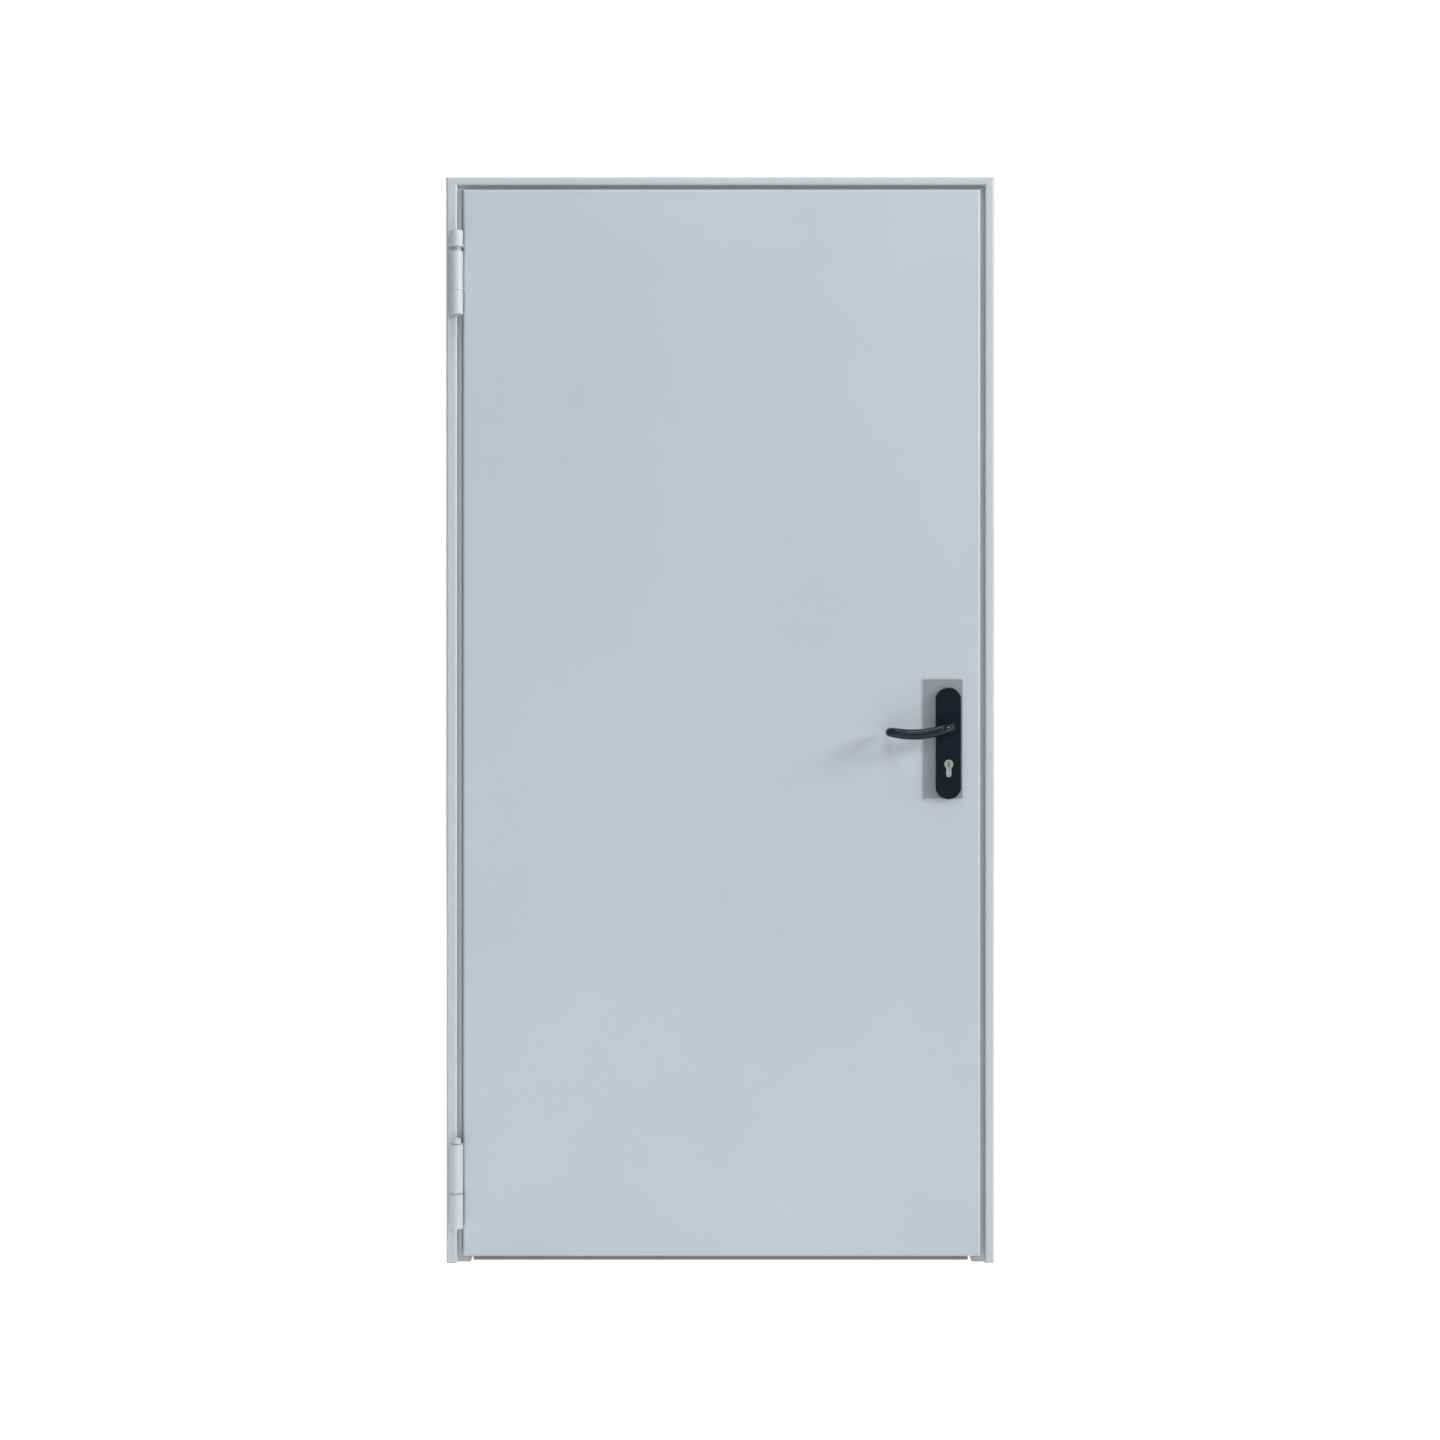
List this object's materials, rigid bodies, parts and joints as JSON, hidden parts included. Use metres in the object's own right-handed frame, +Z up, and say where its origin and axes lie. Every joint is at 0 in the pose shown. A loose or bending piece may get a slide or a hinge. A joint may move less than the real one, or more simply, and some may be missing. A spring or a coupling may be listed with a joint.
{
  "type": "steel utility door",
  "caption": "Single-leaf steel utility door: lipped grey sheet-steel leaf on barrel hinges in a folded steel frame, with a black lever handle on a long plate and a keyed cylinder.",
  "frame": {"origin": "on the wall face of the hinge jamb, at floor level, halfway through the frame's depth", "axes": "+X from the hinge side to the lock side, +Y from the front (hinge barrel) side to the back, +Z up"},
  "size_m": [1.035, 0.17, 2.05],
  "materials": {
    "frame_paint": "light blue-grey baked paint, satin",
    "leaf_paint": "light blue-grey baked paint, satin",
    "seal_rubber": "grey rubber",
    "zinc_steel": "zinc-plated steel",
    "backing_paint": "mid grey painted steel",
    "black_nylon": "black nylon, fine satin grain",
    "nickel": "matt nickel plating",
    "mineral_wool": "mineral wool board"
  },
  "bodies": {
    "frame": {"hinge_jamb": "frame_paint", "lock_jamb": "frame_paint", "frame_head": "frame_paint", "hinge_jamb_seal": "seal_rubber", "lock_jamb_seal": "seal_rubber", "head_seal": "seal_rubber", "hinge_jamb_brackets": "zinc_steel", "lock_jamb_brackets": "zinc_steel", "strike_plate": "zinc_steel", "strike_box": "zinc_steel", "upper_hinge_frame_knuckles": "frame_paint", "upper_hinge_ring": "zinc_steel", "upper_hinge_pin": "zinc_steel", "lower_hinge_frame_knuckle": "frame_paint", "lower_hinge_ring": "zinc_steel", "lower_hinge_pin": "zinc_steel"},
    "leaf": {"front_sheet": "leaf_paint", "back_sheet": "leaf_paint", "hinge_stile": "leaf_paint", "lock_stile": "leaf_paint", "top_rail": "leaf_paint", "bottom_rail": "leaf_paint", "insulation_core": "mineral_wool", "lock_case": "zinc_steel", "latch_bolt": "zinc_steel", "dead_bolt": "zinc_steel", "profile_cylinder": "nickel", "upper_hinge_leaf_knuckle": "frame_paint", "lower_hinge_leaf_knuckle": "frame_paint", "lower_hinge_cap": "frame_paint", "handle_backing_plate": "backing_paint", "front_handle_plate": "black_nylon", "back_handle_plate": "black_nylon"},
    "lever_set": {"front_lever": "black_nylon", "back_lever": "black_nylon", "spindle": "zinc_steel"}
  },
  "joints": [
    {"name": "door_swing", "type": "hinge", "parent": "frame", "child": "leaf", "pos_m": [0.021, -0.054, 1], "axis": [0, 0, -1], "range_deg": [0, 170]},
    {"name": "lever_turn", "type": "hinge", "parent": "leaf", "child": "lever_set", "pos_m": [0.9475, -0.009, 1.012], "axis": [0, -1, 0], "range_deg": [0, 40], "stiffness_Nm_per_rad": 1.2, "springref_deg": -25.78}
  ]
}
